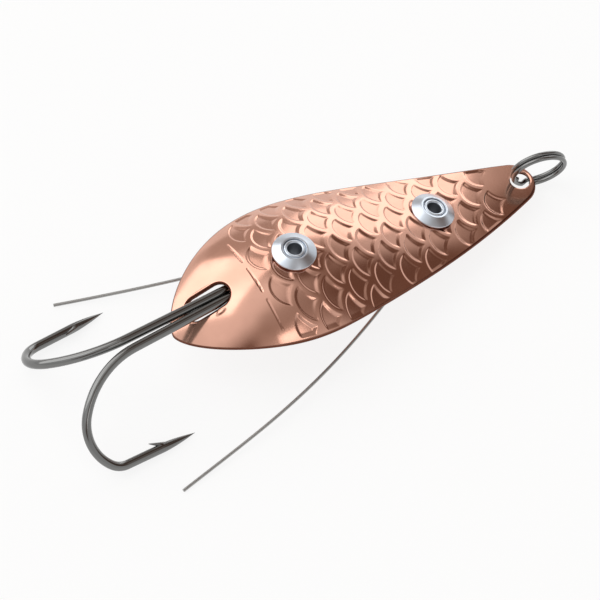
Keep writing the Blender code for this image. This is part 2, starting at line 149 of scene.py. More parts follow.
# A round hole is a slot with this hair of length, which keeps its two halves' ends apart
HOLE_HALF_LENGTH = 0.002 * MM

# Washers and rivets: the cone's collar and the well in it, the roundings of their edges, the
# height of the cone's rim, and the tube's rolled rim, its foot in the well, and its flare
COLLAR_RADIUS = 2.3 * MM
WELL_RADIUS = 2.0 * MM
WELL_FLOOR = 0.7 * MM
WASHER_SEAT = 0.03 * MM
WASHER_PLAY = 0.1 * MM
COLLAR_EDGE = 0.12 * MM
WELL_EDGE = 0.08 * MM
CONE_EDGE = 0.14 * MM
CONE_RIM = 0.12 * MM
PLATE_EDGE = 0.12 * MM
ROLLED_RIM_RADIUS = 1.86 * MM
RIM_FOOT = (0.14 * MM, 0.12 * MM)
FLARE_RADIUS = 2.15 * MM
FLARE_DROP = 0.1 * MM
# The hair that keeps faces apart which would otherwise lie in one plane
HAIR = 0.02 * MM

# Clearances and seats
SEAT_GAP = 0.2 * MM
HOLE_PLAY = 0.3 * MM
SHANK_GAP = 0.04 * MM
SLOT_PLAY = 0.15 * MM
COIL_GAP = 0.04 * MM

# Double hook: the neck at its eye, the shanks, and the radius and degrees of each bend
HOOK_NECK_RADIUS = 1.5 * MM
SHANK_YAW = math.radians(2.65)
SHANK_RISE = math.radians(2.2)
SHANK_SIDE_SET = 0.25 * MM
SHANK_LEAD_IN = 2.8 * MM
SHANK_LENGTH = 20.0 * MM
SHANK_PARTS_AT = 5.0 * MM
SHANK_SPREAD = math.radians(0.9)
HOOK_SPLAY = math.radians(47.1)
HOOK_BENDS = ((15.0 * MM, 55.5), (7.6 * MM, 77.2), (3.75 * MM, 44.4))
HOOK_LEG = 13.25 * MM
# Its points: their length, the power by which they narrow, and their tips' share of the wire
HOOK_POINT_LENGTH = 6.5 * MM
HOOK_POINT_POWER = 1.7
HOOK_POINT_TIP = 0.03
BARB_BACK = 8.5 * MM
BARB_LENGTH = 2.6 * MM
BARB_HEIGHT = 0.85 * MM
# A barb's half thickness and half width at each share of its length, from its root
BARB_RINGS = (
    (0, 0.5 * MM, 0.42 * MM),
    (0.35, 0.34 * MM, 0.4 * MM),
    (0.7, 0.2 * MM, 0.3 * MM),
    (0.93, 0.09 * MM, 0.15 * MM),
    (1, 0.03 * MM, 0.05 * MM),
)
BARB_STEPS = 16

# Weed guards: the two Bezier handles and the tip of each wire, from the front rivet
GUARD_EYE_SWEEP = math.radians(285.0)
GUARD_BEND_RADIUS = 2.0 * MM
LEFT_GUARD = ((-22.0, 5.9, -4.1), (-42.6, 12.1, -5.5), (-62.8, 19.0, -6.6))
RIGHT_GUARD = ((-29.6, -18.1, -4.1), (-41.1, -19.1, -5.5), (-62.4, -23.3, -6.6))

# Split ring: its middle from the hole, how it lies, where its wire starts, and its step and gap
RING_MIDDLE = (2.7 * MM, 0.2 * MM, 3.2 * MM)
RING_YAW = math.radians(-12.1)
RING_LEAN = math.radians(9.7)
RING_START_AT = math.radians(262.0)
RING_STEP_SWEEP = math.radians(26.0)
RING_END_GAP = math.radians(6.0)

# Soft boxes: azimuth and elevation in degrees as for the camera, distance, width, height, level
SOFT_BOXES = (
    ("main_soft_box", 211.0, 43.0, 1.2, 1.25, 1.5, 1.3),
    ("side_panel", 133.0, 17.0, 1.5, 1.0, 0.9, 1.25),
    ("front_panel", 3.0, 46.0, 1.4, 0.42, 0.22, 1.6),
)
# The room's light by the sine of the height: walls, the dim gap over them, and the ceiling
ROOM_LEVELS = (
    (0.0, "#eeeeee"),
    (0.56, "#e6e6e6"),
    (0.72, "#b8b0ab"),
    (0.83, "#a69c96"),
    (0.93, "#b8b2ae"),
    (1.0, "#d4d4d4"),
)
# Brown flags, a grey one and a white reflector: azimuth, elevation, and how many degrees from
# there each begins and is full
PATCHES = (
    (113.0, 61.0, 19.0, 10.0, "#745f54"),
    (65.0, 35.0, 28.0, 14.0, "#745f54"),
    (310.0, 40.0, 20.0, 9.0, "#745f54"),
    (168.0, 12.0, 24.0, 12.0, "#c2bab5"),
    (265.0, 55.0, 37.0, 15.0, "#ffffff"),
)
# The paper's side in metres, and how far it is lifted to white where it is seen
PAPER_SIDE = 8.0
PAPER_LIFT = 0.84
# Where the camera looks, from the top of the rear rivet's axis
CAMERA_AIM = (-2.444 * MM, -6.324 * MM, -4.278 * MM)

# How fine the meshes are. The plain underside has a quarter of the upper face's columns and
# rows, and starts this far inside the rounded rim
BLADE_COLUMNS = 440
BLADE_ROWS = 168
UNDERSIDE_SHARE = 4
UNDERSIDE_INSET = 0.5 * MM
BLADE_STATIONS = 600
FLANK_STEPS = 200
HEAD_STEPS = 80
RIM_STEPS = 1440
PIERCING_STEPS = 32
TURNED_STEPS = 96
WIRE_STEP = math.radians(4.0)
WIRE_RESOLUTION = 6
NECK_STEPS = 20
POINT_STEPS = 24
SWEEP_STEPS = 90
COIL_STEPS = 240
# Points of a wire's end cap that lie nearer than this are joined
CAP_WELD = 0.0001 * MM


def linear(hex_colour):
    """An sRGB hex colour as linear red, green and blue."""
    values = []
    for start in (1, 3, 5):
        value = int(hex_colour[start : start + 2], 16) / 255
        values.append(value / 12.92 if value <= 0.04045 else ((value + 0.055) / 1.055) ** 2.4)
    return tuple(values)


def size(name, default, description):
    return FloatProperty(
        name=name, description=description, default=default, min=0, precision=5, unit="LENGTH"
    )


def colour(name, hex_colour, description):
    return FloatVectorProperty(
        name=name,
        description=description,
        default=linear(hex_colour),
        min=0,
        max=1,
        size=3,
        subtype="COLOR",
    )


def angle(name, degrees, description):
    return FloatProperty(
        name=name, description=description, default=math.radians(degrees), unit="ROTATION"
    )


class LureBladeSettings(bpy.types.PropertyGroup):
    length: size("Length", 75.0 * MM, "Along the blade's curve, tail to head")
    width: size("Width", 27.9 * MM, "Across the blade at its widest")
    thickness: size("Thickness", 0.9 * MM, "Of the copper sheet")
    rim_rounding: size("Rim rounding", 0.42 * MM, "Radius of the tumbled rim")
    edge_rounding: size("Edge rounding", 0.3 * MM, "Radius of the slot's and hole's edges")
    slot_length: size("Slot length", 8.7 * MM, "Of the slot that the hook passes through")
    slot_width: size("Slot width", 4.3 * MM, "Of the slot that the hook passes through")
    ring_hole: size("Ring hole", 3.4 * MM, "Diameter of the hole for the split ring")
    scale_pitch: size("Scale pitch", 5.43 * MM, "From one stamped scale to the next in its row")
    row_pitch: size("Row pitch", 3.3 * MM, "From one row of scales to the next")
    scale_radius: size("Scale radius", 3.2 * MM, "Of each scale's arc")
    band_width: size("Band width", 0.62 * MM, "Of the raised band between scales")
    wall_width: size("Wall width", 0.3 * MM, "Over which the stamping falls to a scale's floor")
    relief: size("Relief", 0.15 * MM, "How deep the scales are stamped")
    copper: colour("Copper", "#e0ac97", "Polished copper")
    # Painted shade: this darker copper stands for shade in the stamped recesses, along the rim and
    # on the piercings' walls, and the faint tints lean toward it
    tint_and_shade_copper: colour("Raw copper", "#663a2b", "Duller copper in recesses and on cut edges")


class LureFasteningSettings(bpy.types.PropertyGroup):
    bore: size("Bore", 2.45 * MM, "Inside diameter of the tubular rivet")
    barrel: size("Barrel", 3.0 * MM, "Outside diameter of the rivet's tube")
    washer: size("Cone washer", 7.6 * MM, "Diameter of the washer on the scaled face")
    washer_height: size("Cone washer height", 1.0 * MM, "From the blade to the washer's collar")
    back_washer: size("Back washer", 6.0 * MM, "Diameter of the washer under the eyes")
    back_thickness: size("Back washer thickness", 0.5 * MM, "Of the washer under the eyes")
    aluminium: colour("Aluminium", "#ccd3dc", "Satin aluminium")


class LureWireSettings(bpy.types.PropertyGroup):
    hook: size("Hook wire", 1.62 * MM, "Diameter of the double hook's wire")
    guard: size("Guard wire", 0.55 * MM, "Diameter of the weed guards' spring wire")
    ring: size("Ring wire", 0.8 * MM, "Diameter of the split ring's wire")
    ring_radius: size("Ring radius", 4.55 * MM, "To the middle of the split ring's wire")
    black_nickel: colour("Black nickel", "#7b7b7a", "Plating on the hook and the ring")
    spring_steel: colour("Spring steel", "#a3a2a0", "Weed guard wire")


class LureStageSettings(bpy.types.PropertyGroup):
    floor: colour("Floor", "#f6f6f5", "White paper sweep")
    azimuth: angle("Azimuth", -34.4, "Of the camera round the lure")
    elevation: angle("Elevation", 57.0, "Of the camera above the floor")
    roll: angle("Roll", 4.0, "Of the camera about its own line of sight")
    distance: size("Distance", 1300 * MM, "From the camera to the lure")
    view_width: size("View width", 100.08 * MM, "What the camera takes in at the lure")


# Shape of the blade


def through_all(values):
    """The polynomial that passes through values set at even stations."""
    return np.polyfit(np.linspace(0, 1, len(values)), values, len(values) - 1)


class Blade:
    """The bent sheet, about the point where the rear rivet's axis meets its upper face."""

    def __init__(self, sizes):
        self.sizes = sizes
        self.length = sizes.length
        self.slope_fit = through_all(np.radians(BLADE_SLOPES))
        self.cup_fit = through_all([1 / radius for radius in BLADE_CUP_RADII])
        self.stations = np.linspace(0, self.length, BLADE_STATIONS)
        slopes = np.polyval(self.slope_fit, self.stations / self.length)
        self.midline = []
        for rate in (np.cos(slopes), np.sin(slopes)):
            steps = (rate[1:] + rate[:-1]) / 2 * self.stations[1]
            grown = np.concatenate([[0], np.cumsum(steps)])
            self.midline.append(grown - np.interp(REAR_RIVET_AT, self.stations, grown))
        self.outline = self.outline_table()

    def sag(self, station, reach):
        """How far the cupped sheet hangs below its midline at that reach to the side."""
        return float(np.polyval(self.cup_fit, station / self.length)) * reach * reach / 2

    def frame(self, station, depth=0.0):
        """A frame on the midline: X toward the head, Y across, Z out of the upper face."""
        slope = float(np.polyval(self.slope_fit, station / self.length))
        x, z = (np.interp(station, self.stations, line) for line in self.midline)
        turn = Matrix.Rotation(-slope, 4, "Y")
        return Matrix.Translation((x, 0, z)) @ turn @ Matrix.Translation((0, 0, -depth))

    def points(self, along, across, depth):
        """Points at that depth under the upper face, which the cupping drops off the midline."""
        share = along / self.length
        slope = np.polyval(self.slope_fit, share)
        cup = np.polyval(self.cup_fit, share)
        slope_rate = np.polyval(np.polyder(self.slope_fit), share) / self.length
        cup_rate = np.polyval(np.polyder(self.cup_fit), share) / self.length
        drop = cup * across**2 / 2
        stretch = 1 + drop * slope_rate
        twist = cup_rate * across**2 / 2
        level = np.zeros_like(slope)
        ahead = np.stack([np.cos(slope), level, np.sin(slope)], axis=-1)
        up = np.stack([-np.sin(slope), level, np.cos(slope)], axis=-1)
        side = np.array((0.0, 1.0, 0.0))
        normal = (
            stretch[..., None] * up
            + (stretch * cup * across)[..., None] * side
            + twist[..., None] * ahead
        )
        normal /= np.linalg.norm(normal, axis=-1, keepdims=True)
        x, z = (np.interp(along, self.stations, line) for line in self.midline)
        middle = np.stack([x, level, z], axis=-1)
        face = middle + across[..., None] * side - drop[..., None] * up
        return face - depth[..., None] * normal

    def outline_table(self):
        """Half widths of the leaf along its length: two Bezier flanks and a round head."""
        head = self.length - HEAD_RADIUS
        round_head = [
            Vector((head + HEAD_RADIUS * math.cos(turn), HEAD_RADIUS * math.sin(turn)))
            for turn in np.linspace(math.pi / 2 - SHOULDER_TAPER, 0, HEAD_STEPS)
        ]
        shoulder = round_head[0]
        flank = Vector((-math.cos(SHOULDER_TAPER), math.sin(SHOULDER_TAPER)))
        widest = Vector((WIDEST_AT, self.sizes.width / 2))
        points = []
        for start, handle, second_handle, end in (
            ((0, 0), (0, TAIL_ROUNDNESS), widest - Vector((TAIL_FULLNESS, 0)), widest),
            (
                widest,
                widest + Vector((WAIST_FULLNESS, 0)),
                shoulder + SHOULDER_FULLNESS * flank,
                shoulder,
            ),
        ):
            points += interpolate_bezier(start, handle, second_handle, end, FLANK_STEPS)
        return list(zip(*points, *round_head))

    def leaf(self, along, across, inset):
        """Places on the leaf for points of a unit disc, drawn in from the rim by inset."""
        chord = np.sqrt(np.maximum(1 - along**2, 1e-9))
        share = np.clip(across / chord, -1, 1)
        station = self.length * (1 + along) / 2
        side = share * np.interp(station, *self.outline)
        turns = np.linspace(-math.pi, math.pi, RIM_STEPS + 1)
        rim_station = self.length * (1 + np.cos(turns)) / 2
        rim_side = np.sign(np.sin(turns)) * np.interp(rim_station, *self.outline)
        out_station = np.gradient(rim_side)
        out_side = -np.gradient(rim_station)
        far = np.hypot(out_station, out_side)
        turn = np.arctan2(across, along)
        pull = inset * np.minimum(1, np.hypot(along, across)) ** INSET_POWER
        station = station - pull * np.interp(turn, turns, out_station / far)
        side = side - pull * np.interp(turn, turns, out_side / far)
        return station, side

    def stamping(self, along, across):
        """How far the stamping has pushed the upper face down, as a share of the relief."""
        sizes = self.sizes
        dashes = self.dashes(along, across)
        burr = np.hypot((along - BURR_AT[0]) / BURR_SIZE[0], (across - BURR_AT[1]) / BURR_SIZE[1])
        pitch, row = sizes.scale_pitch, sizes.row_pitch
        band = sizes.band_width / 2
        from_rim = np.interp(along, *self.outline) - np.abs(across)
        near_tail = np.clip((TAIL_RIM_FROM - along) / TAIL_RIM_LENGTH, 0, 1)
        plain = PLAIN_RIM + (TAIL_RIM - PLAIN_RIM) * near_tail
        margin = np.minimum(SCALES_TO - along, (from_rim - plain) / HEADWARD_SLOPE)
        margin = np.minimum(margin, along - self.dash_line(across) - DASHES_GAP)
        fan = fan_at(along)
        across = (across - FAN_SHIFT * fan) / (1 + FAN_SPREAD * fan)
        straight = along - SCALE_BOW * across**2
        nearest_row = np.round((across - ONE_SCALE_AT[1]) / row)
        pressed = np.zeros_like(along)
        for row_step in (-1, 0, 1):
            this_row = nearest_row + row_step
            middle = ONE_SCALE_AT[1] + this_row * row
            start = ONE_SCALE_AT[0] + np.mod(this_row, 2) * pitch / 2
            nearest = np.round((straight - start) / pitch)
            for step in (-1, 0, 1):
                centre = start + (nearest + step) * pitch
                inside = sizes.scale_radius - band - np.hypot(straight - centre, across - middle)
                for side in (-1, 1):
                    ahead = np.hypot(straight - centre - pitch / 2, across - middle - side * row)
                    headward = ahead - sizes.scale_radius - band
                    inside = np.minimum(inside, headward / HEADWARD_SLOPE)
                inside = np.minimum(inside, margin)
                stamped = (centre >= SCALES_FROM) & (centre <= SCALES_TO)
                stamped &= self.room_at(centre, middle) >= LEAST_ROOM
                inside = np.where(stamped, inside, -1)
                pressed = np.maximum(pressed, rounded_step(inside / sizes.wall_width))
        return np.maximum(pressed, dashes) - rounded_step(2 - 2 * burr)

    def room_at(self, centre, middle):
        """How far inside the rim a scale's centre lies, once its column bows and its row fans."""
        centre = centre + SCALE_BOW * middle**2
        fan = fan_at(centre)
        across = middle * (1 + FAN_SPREAD * fan) + FAN_SHIFT * fan
        return np.interp(centre, *self.outline) - np.abs(across)

    def dash_line(self, across):
        """Where the line of dashes lies along the blade."""
        return DASHES_AT - DASHES_BOW * (across - DASHES_MIDDLE) ** 2

    def dashes(self, along, across):
        """A row of short incised lines between the plain tail and the scales."""
        pitch = 2 * self.sizes.row_pitch
        from_middle = across - MIDDLE_DASH_AT
        from_dash = np.abs(np.mod(from_middle + pitch / 2, pitch) - pitch / 2)
        off_line = np.abs(along - self.dash_line(across))
        inside = np.minimum(DASH_HALF_WIDTH - off_line, DASH_HALF_LENGTH - from_dash)
        inside = np.minimum(inside, DASH_COUNT * pitch / 2 - np.abs(from_middle))
        return rounded_step(inside / DASH_HALF_WIDTH)


def fan_at(along):
    """How far the rows of scales have fanned out there, from 0 to 1."""
    return np.clip((FAN_FROM - along) / FAN_LENGTH, 0, 1)


def rounded_step(share):
    """From 0 to 1 with a soft start and end."""
    share = np.clip(share, 0, 1)
    return share * share * (3 - 2 * share)


# Materials


def add_node(tree, kind, inputs=None, **settings):
    """Adds a shader node, with its settings and its input values or links."""
    node = tree.nodes.new("ShaderNode" + kind)
    for name, value in settings.items():
        setattr(node, name, value)
    for name, value in (inputs or {}).items():
        socket = next(item for item in node.inputs if name in (item.identifier, item.name))
        if isinstance(value, bpy.types.NodeSocket):
            tree.links.new(value, socket)
        else:
            socket.default_value = value
    return node


def start_material(name, colour_value, **values):
    """A material with its colour and plain values set on the shader's own sockets."""
    material = bpy.data.materials.new(name)
    material.use_nodes = True
    material.diffuse_color = (*colour_value, 1)
    tree = material.node_tree
    shader = tree.nodes["Principled BSDF"]
    shader.inputs["Base Color"].default_value = (*colour_value, 1)
    for key, value in values.items():
        shader.inputs[key.replace("_", " ")].default_value = value
    return material, tree, shader


def add_grain(tree, shader, pitch, detail=2.0, stretch=None, drift=None, bump=None):
    """A fine pattern over a piece, spread between the two values of drift where that is given.

    Where bump gives a strength and a height, the surface follows the pattern.
    """
    place = add_node(tree, "TexCoord").outputs["Object"]
    if stretch:
        mapping = add_node(tree, "Mapping", {"Vector": place, "Scale": stretch})
        place = mapping.outputs["Vector"]
    noise = add_node(tree, "TexNoise", {"Vector": place, "Scale": 1 / pitch, "Detail": detail})
    pattern = noise.outputs["Fac"]
    if bump:
        strength, height = bump
        inputs = {"Height": pattern, "Strength": strength, "Distance": height}
        raised = add_node(tree, "Bump", inputs)
        tree.links.new(raised.outputs["Normal"], shader.inputs["Normal"])
    if drift:
        low, high = drift
        inputs = {"Value": pattern, "From Min": 0.3, "From Max": 0.7, "To Min": low, "To Max": high}
        pattern = add_node(tree, "MapRange", inputs).outputs["Result"]
    return pattern


def polished_copper(settings):
    """Rolled copper sheet, stamped, tumbled and buffed."""
    # Buffed copper is a soft mirror: broad bright bands that blur a little, warm and pink. Painted
    # shade darkens it to browner metal in the stamped scales and along the rim, and makes it a
    # little rougher there.
    material, tree, shader = start_material(
        "buffed_copper_sheet", settings.copper, Metallic=1.0, Roughness=0.14
    )
    # The painted shade of the recesses and the rim, stored point by point on the blade
    painted_shade = add_node(tree, "Attribute", attribute_name="painted_shade").outputs["Fac"]
    shares = []
    for pitch, detail, drift, shade_weight in (
        # Faint tints from handling, about 6 mm across, with most of the painted shade added to the
        # colour
        (6 * MM, 3.0, (0.0, 0.12), 0.95),
        # Buffing haze: roughness drifts over 3 mm
        (3 * MM, 4.0, (0.12, 0.2), 0.1),
    ):
        pattern = add_grain(tree, shader, pitch, detail, drift=drift)
        inputs = {"Value": painted_shade, "Value_001": shade_weight, "Value_002": pattern}
        share = add_node(tree, "Math", inputs, operation="MULTIPLY_ADD")
        shares.append(share.outputs["Value"])
    tint_and_shade, roughness = shares
    # The colour moves toward the darker copper by random tint and by painted shade
    inputs = {"Factor_Float": tint_and_shade, "A_Color": (*settings.copper, 1)}
    inputs["B_Color"] = (*settings.tint_and_shade_copper, 1)
    base = add_node(tree, "Mix", inputs, data_type="RGBA")
    tree.links.new(base.outputs[2], shader.inputs["Base Color"])
    tree.links.new(roughness, shader.inputs["Roughness"])
    # Fine buffing lines, drawn 0.25 mm apart, coarser than real so that they show
    add_grain(tree, shader, 3 * MM, 3.0, stretch=(12.0, 1.0, 1.0), bump=(0.12, 0.02 * MM))
    return material


def shaded_copper(settings):
    """Walls of the piercings, in copper darkened with painted shade."""
    # A sheared wall is torn and dull; its dark brown is painted shade, so a piercing reads as a
    # dark brown line.
    material, tree, shader = start_material(
        "shaded_copper_edge", settings.tint_and_shade_copper, Metallic=1.0, Roughness=0.45
    )
    # Tear marks down the wall, 0.15 mm apart, which also vary the painted shade's tone
    tears = add_grain(tree, shader, 0.15 * MM, bump=(0.3, 0.03 * MM))
    inputs = {"Factor_Float": tears, "A_Color": (*settings.tint_and_shade_copper, 1)}
    inputs["B_Color"] = (*linear("#4a2a1f"), 1)
    tone = add_node(tree, "Mix", inputs, data_type="RGBA")
    tree.links.new(tone.outputs[2], shader.inputs["Base Color"])
    return material


def satin_aluminium(settings):
    """Turned aluminium, left as machined."""
    # Turned aluminium is pale, cool and satin, with fine rings about its axis.
    material, tree, shader = start_material(
        "turned_aluminium", settings.aluminium, Metallic=1.0, Roughness=0.3
    )
    place = add_node(tree, "TexCoord").outputs["Object"]
    inputs = {"Vector": place, "Vector_001": (1, 1, 0)}
    flat = add_node(tree, "VectorMath", inputs, operation="MULTIPLY")
    inputs = {"Vector": flat.outputs["Vector"]}
    radius = add_node(tree, "VectorMath", inputs, operation="LENGTH")
    # Turning marks, drawn 0.12 mm apart
    inputs = {"W": radius.outputs["Value"], "Scale": 1 / (0.12 * MM), "Detail": 2.0}
    rings = add_node(tree, "TexNoise", inputs, noise_dimensions="1D")
    inputs = {"Height": rings.outputs["Fac"], "Strength": 0.15, "Distance": 0.02 * MM}
    raised = add_node(tree, "Bump", inputs)
    tree.links.new(raised.outputs["Normal"], shader.inputs["Normal"])
    return material


def shaded_bore():
    """Inside of the aluminium tube, darkened with painted shade."""
    # The bore's dark grey is painted shade for the inside of the tube, and it is left without
    # shine.
    material, tree, shader = start_material(
        "shaded_aluminium_bore", linear("#7a7e85"), Metallic=1.0, Roughness=0.5
    )
    # Drawing lines along the tube, 0.2 mm apart
    grain = add_grain(tree, shader, 0.2 * MM, 1.0, stretch=(1.0, 1.0, 0.1), drift=(0.51, 0.59))
    tree.links.new(grain, shader.inputs["Roughness"])
    return material


def black_nickel(settings):
    """Forged and drawn steel wire, plated with black nickel."""
    # Black nickel is a dark mirror with a slightly warm grey, so it shows hard bright streaks.
    material, tree, shader = start_material(
        "black_nickel_plated_wire", settings.black_nickel, Metallic=1.0, Roughness=0.12
    )
    # Plating ripple, about 0.8 mm
    ripple = add_grain(tree, shader, 0.8 * MM, drift=(0.09, 0.16), bump=(0.1, 0.03 * MM))
    tree.links.new(ripple, shader.inputs["Roughness"])
    return material


def spring_wire(settings):
    """Hard-drawn stainless spring wire."""
    # Drawn spring wire is a plain mid grey with a soft line of light along it.
    material, tree, shader = start_material(
        "drawn_spring_wire", settings.spring_steel, Metallic=1.0, Roughness=0.32
    )
    # Drawing marks, 0.3 mm patches
    marks = add_grain(tree, shader, 0.3 * MM, drift=(0.26, 0.38))
    tree.links.new(marks, shader.inputs["Roughness"])
    return material


def paper(settings):
    """Matte white paper sweep."""
    # Uncoated paper is flat white and keeps a soft shadow.
    material, tree, shader = start_material("matte_white_paper", settings.floor, Roughness=0.9)
    # Paper tooth, about 1 mm
    add_grain(tree, shader, 1 * MM, bump=(0.02, 0.05 * MM))
    # What the camera and the metal see of it is lifted toward white, and keeps a soft shadow
    path = add_node(tree, "LightPath")
    seen = 0.0
    for ray in ("Is Camera Ray", "Is Glossy Ray", "Is Transmission Ray"):
        inputs = {"Value": seen, "Value_001": path.outputs[ray]}
        seen = add_node(tree, "Math", inputs, operation="MAXIMUM").outputs["Value"]
    inputs = {"Value": seen, "Value_001": PAPER_LIFT}
    lifted = add_node(tree, "Math", inputs, operation="MULTIPLY")
    white = add_node(tree, "Emission")
    inputs = {"Fac": lifted.outputs["Value"], "Shader": shader.outputs["BSDF"]}
    inputs["Shader_001"] = white.outputs["Emission"]
    mixed = add_node(tree, "MixShader", inputs)
    tree.links.new(mixed.outputs["Shader"], tree.nodes["Material Output"].inputs["Surface"])
    return material


# Meshes


def add_object(name, data, material=None):
    obj = bpy.data.objects.new(name, data)
    bpy.context.scene.collection.objects.link(obj)
    if material:
        data.materials.append(material)
    return obj


def hand_over(obj, node, body):
    """Gives a finished piece to the body that carries it, in place of its CAD node."""
    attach(obj, body)
    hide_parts(node)


def shade_round(obj, degrees):
    obj.data.shade_smooth()
    obj.data.set_sharp_from_angle(angle=math.radians(degrees))


def face_outward(obj, weld=0.0):
    """Turns every face outward, once points within weld of each other are joined."""
    shape = bmesh.new()
    shape.from_mesh(obj.data)
    if weld:
        bmesh.ops.remove_doubles(shape, verts=shape.verts, dist=weld)
    bmesh.ops.recalc_face_normals(shape, faces=shape.faces)
    shape.to_mesh(obj.data)
    shape.free()


def closed_piece(name, points, faces, material=None, painted_shade=None):
    """A closed mesh. Its last argument gives, point by point, how much painted shade darkens it."""
    mesh = bpy.data.meshes.new(name)
    mesh.from_pydata(points, [], faces)
    if painted_shade is not None:
        attribute = mesh.attributes.new("painted_shade", "FLOAT", "POINT")
        attribute.data.foreach_set("value", painted_shade.astype(np.float32))
    obj = add_object(name, mesh, material)
    face_outward(obj)
    return obj


def settle(obj):
    """Replaces a curve, or a mesh with modifiers, by the plain mesh that it makes."""
    graph = bpy.context.evaluated_depsgraph_get()
    graph.update()
    mesh = bpy.data.meshes.new_from_object(obj.evaluated_get(graph), depsgraph=graph)
    name, matrix = obj.name, obj.matrix_world.copy()
    bpy.data.objects.remove(obj)
    made = add_object(name, mesh)
    made.matrix_world = matrix
    return made


def boolean(obj, other, operation, solver):
    modifier = obj.modifiers.new(other.name, "BOOLEAN")
    modifier.operation = operation
    modifier.object = other
    modifier.solver = solver
    modifier.material_mode = "TRANSFER"


def grid_faces(columns, rows, start=0):
    """Quads of a grid of (columns + 1) by (rows + 1) points."""
    index = start + np.arange((columns + 1) * (rows + 1)).reshape(columns + 1, rows + 1)
    quads = np.stack([index[:-1, :-1], index[1:, :-1], index[1:, 1:], index[:-1, 1:]], axis=-1)
    return quads.reshape(-1, 4).tolist()


def rim_loop(columns, rows):
    """The grid's rim as (column, row) pairs, once round against the clock."""
    loop = [(column, 0) for column in range(columns)]
    loop += [(columns, row) for row in range(rows)]
    loop += [(column, rows) for column in range(columns, 0, -1)]
    loop += [(0, row) for row in range(rows, 0, -1)]
    return np.array(loop)


def quads_between(low, high):
    """Quads that join two rings of points, given by their places in the mesh."""
    return np.stack([low, np.roll(low, -1), np.roll(high, -1), high], axis=-1).tolist()


def skin_faces(ring_count, count, start=0):
    """Quads between rings of that many points each, then a face over either end."""
    rings = start + np.arange(ring_count * count).reshape(ring_count, count)
    faces = []
    for low, high in zip(rings, rings[1:]):
        faces += quads_between(low, high)
    return [*faces, rings[0].tolist(), rings[-1].tolist()]


def disc_grid(columns, rows):
    """A square grid's points, pulled onto a unit disc."""
    u, v = np.meshgrid(np.linspace(-1, 1, columns + 1), np.linspace(-1, 1, rows + 1), indexing="ij")
    return u * np.sqrt(1 - v**2 / 2), v * np.sqrt(1 - u**2 / 2)


def rim_rings(sizes):
    """The rim's rings, from the upper face down and round to the underside.

    Each has its inset, its depth, and its shares of the stamping and of the painted shade on the
    rim.
    """
    rim = sizes.rim_rounding
    rings = []
    for step in (1, 2, 3, 4):
        turn = math.pi / 8 * step
        rings.append((rim * (1 - math.sin(turn)), rim * (1 - math.cos(turn)), 1 - step / 4, 1))
    for turn in (0, math.pi / 6, math.pi / 3, math.pi / 2):
        depth = sizes.thickness - rim * (1 - math.sin(turn))
        rings.append((rim * (1 - math.cos(turn)), depth, 0, math.cos(turn)))
    return rings


def blade_sheet(blade, material):
    """The closed sheet: stamped upper face, rounded rim and plain underside."""
    sizes = blade.sizes
    along, across = disc_grid(BLADE_COLUMNS, BLADE_ROWS)
    station, side = blade.leaf(along, across, sizes.rim_rounding)
    pressed = blade.stamping(station, side)
    points = [blade.points(station, side, pressed * sizes.relief).reshape(-1, 3)]
    faces = grid_faces(BLADE_COLUMNS, BLADE_ROWS)
    column, row = rim_loop(BLADE_COLUMNS, BLADE_ROWS).T
    # Painted shade: the stamped recesses and the rim are darkened toward the darker copper
    shade_share = pressed * RECESS_SHADE
    shade_share[column, row] = RIM_SHADE
    painted_shade = [shade_share.ravel()]
    along, across, pressed = along[column, row], across[column, row], pressed[column, row]
    before = column * (BLADE_ROWS + 1) + row
    count = len(before)
    start = len(points[0])
    for inset, depth, stamped, rim_shade_share in rim_rings(sizes):
        station, side = blade.leaf(along, across, inset)
        points.append(blade.points(station, side, depth + stamped * pressed * sizes.relief))
        painted_shade.append(np.full(count, rim_shade_share))
        ring = start + np.arange(count)
        faces += quads_between(before, ring)
        before = ring
        start += count
    columns, rows = BLADE_COLUMNS // UNDERSIDE_SHARE, BLADE_ROWS // UNDERSIDE_SHARE
    station, side = blade.leaf(*disc_grid(columns, rows), sizes.rim_rounding + UNDERSIDE_INSET)
    underside = blade.points(station, side, np.full_like(station, sizes.thickness))
    points.append(underside.reshape(-1, 3))
    painted_shade.append(np.zeros(station.size))
    faces += [face[::-1] for face in grid_faces(columns, rows, start)]
    column, row = rim_loop(columns, rows).T
    coarse = start + column * (rows + 1) + row
    # Each edge of the coarser underside meets as many edges of the rim as its share
    for index, (corner, after) in enumerate(zip(coarse, np.roll(coarse, -1))):
        stretch = UNDERSIDE_SHARE * index + np.arange(UNDERSIDE_SHARE + 1)
        faces.append([*before[stretch % count].tolist(), int(after), int(corner)][::-1])
    points = np.concatenate(points).tolist()
    return closed_piece("copper_blade", points, faces, material, np.concatenate(painted_shade))


def piercing_rings(blade, centre, half_length, radius, turned, profile):
    """Rings of a piercing with round ends, for each (depth, how far it opens) of its profile."""
    rings = []
    for depth, opened in profile:
        station, side = [], []
        for end in (1, -1):
            for turn in np.linspace(-math.pi / 2, math.pi / 2, PIERCING_STEPS + 1):
                along = end * (half_length + (radius + opened) * math.cos(turn))
                across = end * (radius + opened) * math.sin(turn)
                station.append(centre[0] + along * math.cos(turned) + across * math.sin(turned))
                side.append(centre[1] - along * math.sin(turned) + across * math.cos(turned))
        ring = blade.points(np.array(station), np.array(side), np.full(len(station), depth))
        rings.append(ring)
    return rings


def piercing_profile(thickness, rounding, lip):
    """Depths and openings of a hole whose edges are rounded, above by lip and below by rounding."""
    wide, deep = lip
    profile = [(-CUT_REACH, wide)]
    turns = np.radians(LIP_TURNS)
    for turn in turns:
        profile.append((deep * (1 - math.cos(turn)), wide * (1 - math.sin(turn))))
    for turn in turns[::-1]:
        depth = thickness - rounding * (1 - math.cos(turn))
        profile.append((depth, rounding * (1 - math.sin(turn))))
    profile.append((thickness + CUT_REACH, rounding))
    return profile


